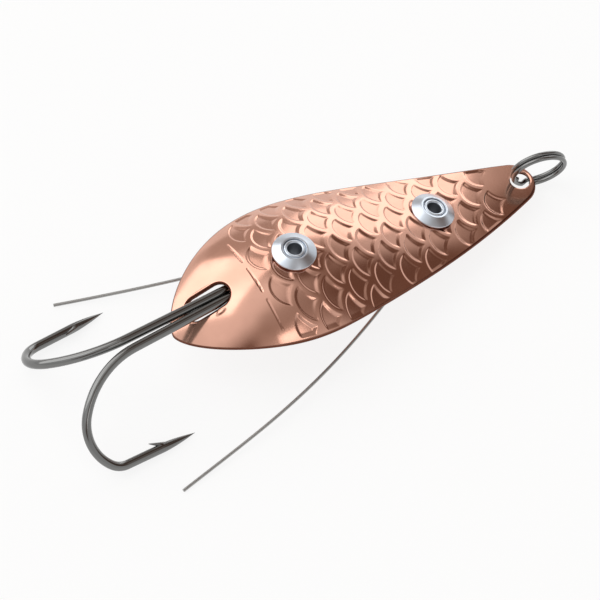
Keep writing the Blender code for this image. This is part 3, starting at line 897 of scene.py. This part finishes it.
def piercings(blade, polished, shaded):
    """One cutter mesh for the slot, the ring hole and the two rivet holes."""
    sizes = blade.sizes
    edge = sizes.edge_rounding
    torn = piercing_profile(sizes.thickness, edge, SLOT_LIP)
    rounded = piercing_profile(sizes.thickness, edge, (edge, edge))
    slot_half = (sizes.slot_length - sizes.slot_width) / 2
    slot_at = (
        SLOT_FRONT_AT - sizes.slot_width / 2 - slot_half * math.cos(SLOT_TURN),
        SLOT_OFFSET + slot_half * math.sin(SLOT_TURN),
    )
    plain = [(-CUT_REACH, 0), (sizes.thickness + CUT_REACH, 0)]
    rivet_hole = (HOLE_HALF_LENGTH, RIVET_HOLE_RADIUS, 0, plain, 0)
    points, faces, wall_shades = [], [], []
    for centre, half_length, radius, turned, profile, lip_steps in (
        (slot_at, slot_half, sizes.slot_width / 2, SLOT_TURN, torn, SLOT_LIP_STEPS),
        ((RING_HOLE_AT, 0), HOLE_HALF_LENGTH, sizes.ring_hole / 2, 0, rounded, HOLE_LIP_STEPS),
        ((REAR_RIVET_AT, 0), *rivet_hole),
        ((FRONT_RIVET_AT, 0), *rivet_hole),
    ):
        rings = piercing_rings(blade, centre, half_length, radius, turned, profile)
        count = len(rings[0])
        faces += skin_faces(len(rings), count, len(points))
        points += np.concatenate(rings).tolist()
        # Steps past the lip's bright ones take the wall's painted shade
        for step in range(len(rings) - 1):
            wall_shades += [int(step > lip_steps)] * count
        wall_shades += [0, 0]
    cutter = closed_piece("piercings", points, faces, polished, np.zeros(len(points)))
    cutter.data.materials.append(shaded)
    cutter.data.polygons.foreach_set("material_index", wall_shades)
    return cutter


def arc(centre, radius, start, end, steps=5):
    """Profile points round a centre, from one angle to another in degrees."""
    return [
        (centre[0] + radius * math.cos(turn), centre[1] + radius * math.sin(turn))
        for turn in np.radians(np.linspace(start, end, steps))
    ]


def revolve(name, profile, material, place):
    """A turned piece: a closed profile of (radius, height) carried round its own Z."""
    turns = np.linspace(0, 2 * math.pi, TURNED_STEPS, endpoint=False)
    points = [
        (radius * math.cos(turn), radius * math.sin(turn), height)
        for turn in turns
        for radius, height in profile
    ]
    rings = np.arange(len(points)).reshape(TURNED_STEPS, len(profile))
    faces = []
    for here, there in zip(rings, np.roll(rings, -1, axis=0)):
        faces += quads_between(here, there)
    obj = closed_piece(name, points, faces, material)
    shade_round(obj, 28)
    obj.matrix_world = place
    return obj


def eye_depth(blade, station, wire, eye_radius):
    """How deep under the upper face an eye's centre line lies, to clear the cupped underside."""
    sag = blade.sag(station, eye_radius + wire / 2)
    return blade.sizes.thickness + sag + SEAT_GAP + wire / 2


def stack_depths(lure):
    """How deep the hook's eye and the two guards' eyes lie under the upper face."""
    blade, fastening, wires = lure
    loose = fastening.barrel / 2 + HOLE_PLAY
    hook = eye_depth(blade, REAR_RIVET_AT, wires.hook, loose + wires.hook / 2)
    left = eye_depth(blade, FRONT_RIVET_AT, wires.guard, loose + wires.guard / 2)
    return hook, left, left + wires.guard + SEAT_GAP


def fastening_pieces(prefix, lure, shift, station, stack_depth, material, bore_shade_material):
    """A tubular rivet with its cone washer above the blade and its back washer below the eyes."""
    blade, sizes, _ = lure
    place = Matrix.Translation(shift) @ blade.frame(station)
    bore, barrel = sizes.bore / 2, sizes.barrel / 2
    peak = sizes.washer_height + SEAT_GAP
    outer = sizes.washer / 2
    cone = [
        *arc((COLLAR_RADIUS, peak - COLLAR_EDGE), COLLAR_EDGE, 55, 90),
        *arc((WELL_RADIUS + WELL_EDGE, peak - WELL_EDGE), WELL_EDGE, 90, 180),
        (WELL_RADIUS, WELL_FLOOR),
        (barrel + WASHER_PLAY, WELL_FLOOR),
        (barrel + WASHER_PLAY, WASHER_SEAT),
        *arc((outer - CONE_EDGE, WASHER_SEAT + CONE_EDGE), CONE_EDGE, 270, 360),
        *arc((outer - CONE_EDGE, WASHER_SEAT + CONE_EDGE + CONE_RIM), CONE_EDGE, 0, 55),
    ]
    washer = revolve(prefix + "_cone", cone, material, place)
    hand_over(washer, prefix + "_cone_washer", "lure")
    top = -(stack_depth + HAIR)
    bottom = top - sizes.back_thickness - SEAT_GAP
    half = sizes.back_washer / 2
    plate = [
        (barrel + WASHER_PLAY, top),
        *arc((half - PLATE_EDGE, top - PLATE_EDGE), PLATE_EDGE, 90, 0),
        *arc((half - PLATE_EDGE, bottom + PLATE_EDGE), PLATE_EDGE, 0, -90),
        (barrel + WASHER_PLAY, bottom),
    ]
    back = revolve(prefix + "_back_plate", plate, material, place)
    hand_over(back, prefix + "_back_washer", "lure")
    roll = (ROLLED_RIM_RADIUS - bore) / 2
    flare = (FLARE_RADIUS - bore) / 2
    tube = [
        *arc((bore + roll, peak - roll), roll, 180, 0, 13),
        (ROLLED_RIM_RADIUS, WELL_FLOOR + RIM_FOOT[0]),
        (WELL_RADIUS - HAIR, WELL_FLOOR + RIM_FOOT[1]),
        (WELL_RADIUS - HAIR, WELL_FLOOR + HAIR),
        (barrel, WELL_FLOOR + HAIR),
        (barrel, bottom),
        *arc((bore + flare, bottom - FLARE_DROP), flare, 0, -180, 13),
    ]
    rivet = revolve(prefix + "_tube", tube, material, place)
    # The bore's faces take the painted shade of the bore material
    rivet.data.materials.append(bore_shade_material)
    for face in rivet.data.polygons:
        if face.center.xy.length < bore + HAIR and face.center.z < peak - roll:
            face.material_index = 1
    hand_over(rivet, prefix + "_rivet", "lure")


def square_to(heading, toward):
    """The side of a wire that faces that way, square to its heading."""
    return (toward - toward.dot(heading) * heading).normalized()


class WirePath:
    """The centre line of a bent wire, grown from its start by runs, bends and curves."""

    def __init__(self, start, heading):
        self.points = [start.copy()]
        self.heading = heading.normalized()

    def run(self, length):
        self.points.append(self.points[-1] + self.heading * length)

    def bend(self, radius, turn, toward):
        """Turns the wire through that angle, about a centre on that side."""
        side = square_to(self.heading, toward)
        centre = self.points[-1] + side * radius
        steps = max(3, math.ceil(turn / WIRE_STEP))
        ahead = self.heading
        for step in range(1, steps + 1):
            turned_by = turn * step / steps
            across = ahead * math.sin(turned_by) - side * math.cos(turned_by)
            self.points.append(centre + radius * across)
        self.heading = ahead * math.cos(turn) + side * math.sin(turn)

    def curve(self, handle, second_handle, end, count):
        """A Bezier curve through two handles."""
        curve = interpolate_bezier(self.points[-1], handle, second_handle, end, count + 1)
        self.points += curve[1:]
        self.heading = (end - second_handle).normalized()


def wire_piece(name, points, diameter, material, radii=None):
    """A wire along points, with filled ends. radii scales its thickness point by point."""
    curve = bpy.data.curves.new(name, "CURVE")
    curve.dimensions = "3D"
    curve.bevel_depth = diameter / 2
    curve.bevel_resolution = WIRE_RESOLUTION
    curve.use_fill_caps = True
    spline = curve.splines.new("POLY")
    spline.points.add(len(points) - 1)
    for index, point in enumerate(points):
        spline.points[index].co = (*point, 1)
        spline.points[index].radius = radii[index] if radii else 1
    obj = settle(add_object(name, curve))
    face_outward(obj, weld=CAP_WELD)
    obj.data.materials.append(material)
    return obj


def shank_line(blade, wire):
    """A point under the slot's front edge that the shanks pass, and the way they then go."""
    edge = blade.frame(SHANKS_PASS_AT, blade.sizes.thickness).translation
    sag = blade.sag(SHANKS_PASS_AT, SHANK_SIDE_SET + wire)
    below = edge.z - sag - SLOT_PLAY - wire / 2
    level = Vector((-math.cos(SHANK_YAW), -math.sin(SHANK_YAW), 0))
    heading = level * math.cos(SHANK_RISE) + Vector((0, 0, math.sin(SHANK_RISE)))
    return Vector((edge.x, SHANK_SIDE_SET, below)), heading


def hook_half(lure, side):
    """One half of the double hook's wire, from the front of its eye to its point."""
    blade, fastening, wires = lure
    wire = wires.hook
    eye_radius = fastening.barrel / 2 + HOLE_PLAY + wire / 2
    place = blade.frame(REAR_RIVET_AT, stack_depths(lure)[0])
    along = place.col[0].xyz
    across = side * place.col[1].xyz
    half_pitch = (wire + SHANK_GAP) / 2
    path = WirePath(place.translation + along * eye_radius, across)
    neck = math.asin((half_pitch + HOOK_NECK_RADIUS) / (eye_radius + HOOK_NECK_RADIUS))
    path.bend(eye_radius, math.pi - neck, -along)
    path.bend(HOOK_NECK_RADIUS, math.pi / 2 - neck, across)
    under_slot, heading = shank_line(blade, wire)
    sideways = Vector((0, 0, 1)).cross(heading).normalized() * -side
    line_start = under_slot - heading * SHANK_LEAD_IN + sideways * half_pitch
    ease = (line_start - path.points[-1]).length / 3
    handle = path.points[-1] + path.heading * ease
    path.curve(handle, line_start - heading * ease, line_start, NECK_STEPS)
    path.heading = heading
    path.run(SHANK_LEAD_IN + SHANK_PARTS_AT)
    path.heading = heading * math.cos(SHANK_SPREAD) + sideways * math.sin(SHANK_SPREAD)
    path.run(SHANK_LENGTH - SHANK_PARTS_AT)
    down = heading.cross(sideways) * side
    opening = down * math.cos(HOOK_SPLAY) + sideways * math.sin(HOOK_SPLAY)
    for radius, turn in HOOK_BENDS:
        path.bend(radius, math.radians(turn), opening)
        opening = square_to(path.heading, opening)
    return path, opening


def barb_piece(name, root, crest, inward):
    """A sliver lifted off the wire: thick at its root, flat and sharp at its free tip."""
    axis = crest - root
    width = inward.cross(axis).normalized()
    lift = axis.cross(width).normalized()
    points = []
    for share, thick, wide in BARB_RINGS:
        for turn in np.linspace(0, 2 * math.pi, BARB_STEPS, endpoint=False):
            offset = width * wide * math.cos(turn) + lift * thick * math.sin(turn)
            points.append(root + axis * share + offset)
    return closed_piece(name, points, skin_faces(len(BARB_RINGS), BARB_STEPS))


def hook_piece(lure, shift, material):
    """One wire, point to point, through its eye, with a barb raised on each leg."""
    wire = lure[2].hook
    halves, barbs = [], []
    for side in (1, -1):
        path, inward = hook_half(lure, side)
        radii = [1.0] * len(path.points)
        leg_start = path.points[-1].copy()
        shaft = HOOK_LEG - HOOK_POINT_LENGTH
        for share in np.linspace(0, 1, POINT_STEPS + 1):
            path.points.append(leg_start + path.heading * (shaft + share * HOOK_POINT_LENGTH))
            radii.append(max(HOOK_POINT_TIP, 1 - share**HOOK_POINT_POWER))
        halves.append((path.points, radii))
        tip = path.points[-1]
        crest = tip - path.heading * BARB_BACK + inward * (wire / 2 + BARB_HEIGHT)
        root = tip - path.heading * (BARB_BACK - BARB_LENGTH) + inward * (wire / 4)
        barbs.append(barb_piece("left_barb" if side > 0 else "right_barb", root, crest, inward))
    (left, left_radii), (right, right_radii) = halves
    points = left[:0:-1] + right
    radii = left_radii[:0:-1] + right_radii
    hook = wire_piece("double_hook_wire", points, wire, material, radii)
    for barb in barbs:
        boolean(hook, barb, "UNION", "EXACT")
    hook = settle(hook)
    for barb in barbs:
        bpy.data.objects.remove(barb)
    shade_round(hook, 50)
    hook.location = shift
    return hook


def guard_points(lure, side, depth, course):
    """A guard's wire: an open eye about the front rivet, then a long sweep to its tip."""
    blade, fastening, wires = lure
    eye_radius = fastening.barrel / 2 + HOLE_PLAY + wires.guard / 2
    place = blade.frame(FRONT_RIVET_AT)
    along = place.col[0].xyz
    across = side * place.col[1].xyz
    up = place.col[2].xyz
    handle, second_handle, tip = (Vector(point) * MM for point in course)
    exit_heading = math.atan2(handle.dot(across), handle.dot(along))
    start = exit_heading - math.pi / 2 - GUARD_EYE_SWEEP
    spoke = along * math.cos(start) + across * math.sin(start)
    ahead = across * math.cos(start) - along * math.sin(start)
    path = WirePath(spoke * eye_radius - up * depth, ahead)
    path.bend(eye_radius, GUARD_EYE_SWEEP, -spoke)
    past_washer = fastening.back_washer / 2 + SEAT_GAP + wires.guard / 2
    path.run(math.sqrt(max(0, past_washer**2 - eye_radius**2)))
    direction = handle - path.points[-1]
    path.bend(GUARD_BEND_RADIUS, path.heading.angle(direction), direction)
    path.curve(handle, second_handle, tip, SWEEP_STEPS)
    return path.points


def ring_points(sizes, place):
    """Two flat coils side by side, joined by a short step under the blade's head."""
    rise = (sizes.ring + COIL_GAP) / 2
    end = 4 * math.pi - RING_STEP_SWEEP - RING_END_GAP
    points = []
    for turn in np.linspace(0, end, COIL_STEPS):
        share = min(1, max(0, (turn - 2 * math.pi + RING_STEP_SWEEP) / RING_STEP_SWEEP))
        height = rise * (2 * share * share * (3 - 2 * share) - 1)
        across = sizes.ring_radius * math.cos(turn + RING_START_AT)
        up = sizes.ring_radius * math.sin(turn + RING_START_AT)
        points.append(place @ Vector((across, height, up)))
    return points


# Stage


def turned_to(azimuth, elevation):
    """The turn that brings Z to that azimuth and elevation and keeps X level."""
    return Matrix.Rotation(azimuth, 4, "Z") @ Matrix.Rotation(math.pi / 2 - elevation, 4, "X")


def add_soft_box(middle, name, azimuth, elevation, distance, width, height, level):
    """A lit panel that faces the lure."""
    light = bpy.data.lights.new(name, "AREA")
    light.shape = "RECTANGLE"
    light.size = width
    light.size_y = height
    # An area lamp's face is as bright as its power over pi times its area
    light.energy = level * math.pi * width * height
    box = add_object(name, light)
    turn = turned_to(math.radians(azimuth), math.radians(elevation))
    box.matrix_world = Matrix.Translation(middle) @ turn @ Matrix.Translation((0, 0, distance))


def make_room(scene):
    """White walls under a dim ceiling, with dark flags over the lure, and white for the camera."""
    world = bpy.data.worlds.new("studio_room")
    world.use_nodes = True
    scene.world = world
    tree = world.node_tree
    direction = add_node(tree, "TexCoord").outputs["Generated"]
    height = add_node(tree, "SeparateXYZ", {"Vector": direction}).outputs["Z"]
    room = add_node(tree, "ValToRGB", {"Fac": height})
    ramp = room.color_ramp.elements
    for position, hex_colour in ROOM_LEVELS:
        stop = ramp[0] if position == 0 else ramp.new(position)
        stop.color = (*linear(hex_colour), 1)
    ramp.remove(ramp[-1])
    layers = []
    for azimuth, elevation, outer, inner, hex_colour in PATCHES:
        toward = turned_to(math.radians(azimuth), math.radians(elevation)).col[2].xyz
        inputs = {"Vector": direction, "Vector_001": toward}
        cosine = add_node(tree, "VectorMath", inputs, operation="DOT_PRODUCT")
        inputs = {"Value": cosine.outputs["Value"], "From Min": math.cos(math.radians(outer))}
        inputs["From Max"] = math.cos(math.radians(inner))
        share = add_node(tree, "MapRange", inputs, interpolation_type="SMOOTHSTEP")
        layers.append((share.outputs["Result"], (*linear(hex_colour), 1)))
    path = add_node(tree, "LightPath")
    layers.append((path.outputs["Is Camera Ray"], (1, 1, 1, 1)))
    light = room.outputs["Color"]
    for share, over in layers:
        inputs = {"Factor_Float": share, "A_Color": light, "B_Color": over}
        light = add_node(tree, "Mix", inputs, data_type="RGBA").outputs[2]
    tree.links.new(light, tree.nodes["Background"].inputs["Color"])


# Operators


def lure_of(context):
    """The blade's shape with the fastenings' and wires' sizes, and the blade's place.

    The front rivet's joint places the blade in the frame.
    """
    scene = context.scene
    blade = Blade(scene.lure_blade)
    joint = next(item for item in frame["joints"] if item["name"] == "left_guard_swing")
    shift = Vector(joint["pos_m"]) - blade.frame(FRONT_RIVET_AT).translation
    return (blade, scene.lure_fastening, scene.lure_wires), shift


class LURE_OT_blade(bpy.types.Operator):
    """Builds the stamped, cupped and pierced copper blade"""

    bl_idname = "lure.blade"
    bl_label = "Copper blade"

    def execute(self, context):
        (blade, _, _), shift = lure_of(context)
        polished = polished_copper(blade.sizes)
        sheet = blade_sheet(blade, polished)
        # The piercings' walls carry painted shade
        cutter = piercings(blade, polished, shaded_copper(blade.sizes))
        boolean(sheet, cutter, "DIFFERENCE", "MANIFOLD")
        sheet = settle(sheet)
        bpy.data.objects.remove(cutter)
        shade_round(sheet, 60)
        sheet.location = shift
        hand_over(sheet, "spoon_blade", "lure")
        return {"FINISHED"}


class LURE_OT_fastenings(bpy.types.Operator):
    """Builds the two tubular rivets with their cone washers and back washers"""

    bl_idname = "lure.fastenings"
    bl_label = "Rivets and washers"

    def execute(self, context):
        lure, shift = lure_of(context)
        hook_depth, _, guard_depth = stack_depths(lure)
        wires = lure[2]
        material = satin_aluminium(lure[1])
        # The bore's material is painted shade
        inside = shaded_bore()
        for prefix, station, depth in (
            ("rear", REAR_RIVET_AT, hook_depth + wires.hook / 2),
            ("front", FRONT_RIVET_AT, guard_depth + wires.guard / 2),
        ):
            fastening_pieces(prefix, lure, shift, station, depth, material, inside)
        return {"FINISHED"}


class LURE_OT_hook(bpy.types.Operator):
    """Bends the double hook from one wire and raises its barbs"""

    bl_idname = "lure.hook"
    bl_label = "Double hook"

    def execute(self, context):
        lure, shift = lure_of(context)
        hook = hook_piece(lure, shift, black_nickel(lure[2]))
        hand_over(hook, "double_hook", "lure")
        return {"FINISHED"}


class LURE_OT_guards(bpy.types.Operator):
    """Bends the two spring-wire weed guards"""

    bl_idname = "lure.guards"
    bl_label = "Weed guards"

    def execute(self, context):
        lure, shift = lure_of(context)
        _, left_depth, right_depth = stack_depths(lure)
        pivot = shift + lure[0].frame(FRONT_RIVET_AT).translation
        material = spring_wire(lure[2])
        for name, side, depth, course in (
            ("left", 1, left_depth, LEFT_GUARD),
            ("right", -1, right_depth, RIGHT_GUARD),
        ):
            points = guard_points(lure, side, depth, course)
            guard = wire_piece(name + "_guard_wire", points, lure[2].guard, material)
            shade_round(guard, 50)
            guard.location = pivot
            hand_over(guard, "weed_guard_" + name, name + "_guard")
        return {"FINISHED"}


class LURE_OT_ring(bpy.types.Operator):
    """Coils the split ring through the hole in the blade's head"""

    bl_idname = "lure.ring"
    bl_label = "Split ring"

    def execute(self, context):
        (blade, _, wires), shift = lure_of(context)
        hinge = blade.frame(RING_HOLE_AT, blade.sizes.thickness / 2)
        turn = hinge.to_3x3().to_4x4() @ Matrix.Rotation(RING_LEAN, 4, "X")
        turn = turn @ Matrix.Rotation(RING_YAW, 4, "Z")
        points = ring_points(wires, turn @ Matrix.Translation(RING_MIDDLE))
        ring = wire_piece("ring_coils", points, wires.ring, black_nickel(wires))
        shade_round(ring, 50)
        ring.location = shift + hinge.translation
        hand_over(ring, "split_ring", "ring")
        return {"FINISHED"}


class LURE_OT_stage(bpy.types.Operator):
    """Sets the paper sweep, the soft boxes, the room and the camera"""

    bl_idname = "lure.stage"
    bl_label = "Stage"

    def execute(self, context):
        settings = context.scene.lure_stage
        low, high = CAD_BOX
        middle = (low + high) / 2
        bpy.ops.mesh.primitive_plane_add(size=PAPER_SIDE, location=(0, 0, low.z))
        floor = context.object
        floor.name = "paper_sweep"
        floor.data.materials.append(paper(settings))
        for soft_box in SOFT_BOXES:
            add_soft_box(middle, *soft_box)
        make_room(context.scene)
        camera = bpy.data.cameras.new("camera")
        camera.sensor_width = 36
        camera.lens = camera.sensor_width * settings.distance / settings.view_width
        camera.clip_end = 20
        viewer = add_object("camera", camera)
        aim = lure_of(context)[1] + Vector(CAMERA_AIM)
        turn = turned_to(settings.azimuth, settings.elevation)
        turn = turn @ Matrix.Rotation(settings.roll, 4, "Z")
        away = Matrix.Translation((0, 0, settings.distance))
        viewer.matrix_world = Matrix.Translation(aim) @ turn @ away
        context.scene.camera = viewer
        context.scene.view_settings.view_transform = "Standard"
        return {"FINISHED"}


class LURE_PT_panel(bpy.types.Panel):
    """Lists the lure's operators and its sizes"""

    bl_idname = "LURE_PT_panel"
    bl_label = "Spoon Lure"
    bl_space_type = "VIEW_3D"
    bl_region_type = "UI"
    bl_category = "Spoon Lure"

    def draw(self, context):
        layout = self.layout
        for operator in OPERATORS:
            layout.operator(operator.bl_idname)
        for group, _ in GROUPS:
            settings = getattr(context.scene, group)
            box = layout.box()
            for name in settings.bl_rna.properties.keys():
                if name not in ("rna_type", "name"):
                    box.prop(settings, name)


OPERATORS = (
    LURE_OT_blade,
    LURE_OT_fastenings,
    LURE_OT_hook,
    LURE_OT_guards,
    LURE_OT_ring,
    LURE_OT_stage,
)
GROUPS = (
    ("lure_blade", LureBladeSettings),
    ("lure_fastening", LureFasteningSettings),
    ("lure_wires", LureWireSettings),
    ("lure_stage", LureStageSettings),
)


def register():
    for name, group in GROUPS:
        bpy.utils.register_class(group)
        setattr(bpy.types.Scene, name, PointerProperty(type=group))
    for item in (*OPERATORS, LURE_PT_panel):
        bpy.utils.register_class(item)


def unregister():
    for item in (LURE_PT_panel, *OPERATORS):
        bpy.utils.unregister_class(item)
    for name, group in GROUPS:
        delattr(bpy.types.Scene, name)
        bpy.utils.unregister_class(group)


def main():
    register()
    bpy.ops.lure.blade()
    bpy.ops.lure.fastenings()
    bpy.ops.lure.hook()
    bpy.ops.lure.guards()
    bpy.ops.lure.ring()
    bpy.ops.lure.stage()


if __name__ == "__main__":
    main()
